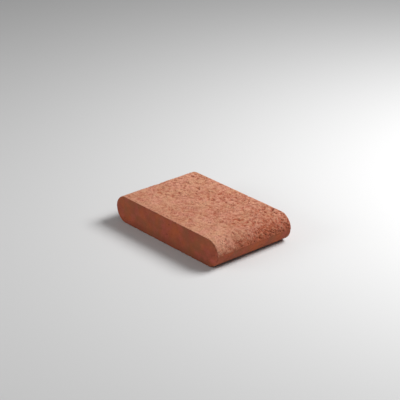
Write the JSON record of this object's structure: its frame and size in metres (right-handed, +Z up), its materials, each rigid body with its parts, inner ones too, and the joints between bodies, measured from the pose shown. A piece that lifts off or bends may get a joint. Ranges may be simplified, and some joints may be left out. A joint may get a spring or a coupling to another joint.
{
  "type": "concrete wall coping",
  "caption": "Flat slab of textured red-brown concrete with half-round noses along both long edges, laid on top of a wall to cap it.",
  "frame": {"origin": "middle of the flat bed face that lies on the wall, so z is 0 on the wall's top", "axes": "+X across the wall from one rounded nose to the other, +Y along the wall from one end face to the other, +Z up from the bed face to the textured top face"},
  "size_m": [0.32, 0.198, 0.06],
  "materials": {
    "red_brown_concrete": "matte"
  },
  "bodies": {
    "root": {"coping_block": "red_brown_concrete"}
  },
  "joints": []
}
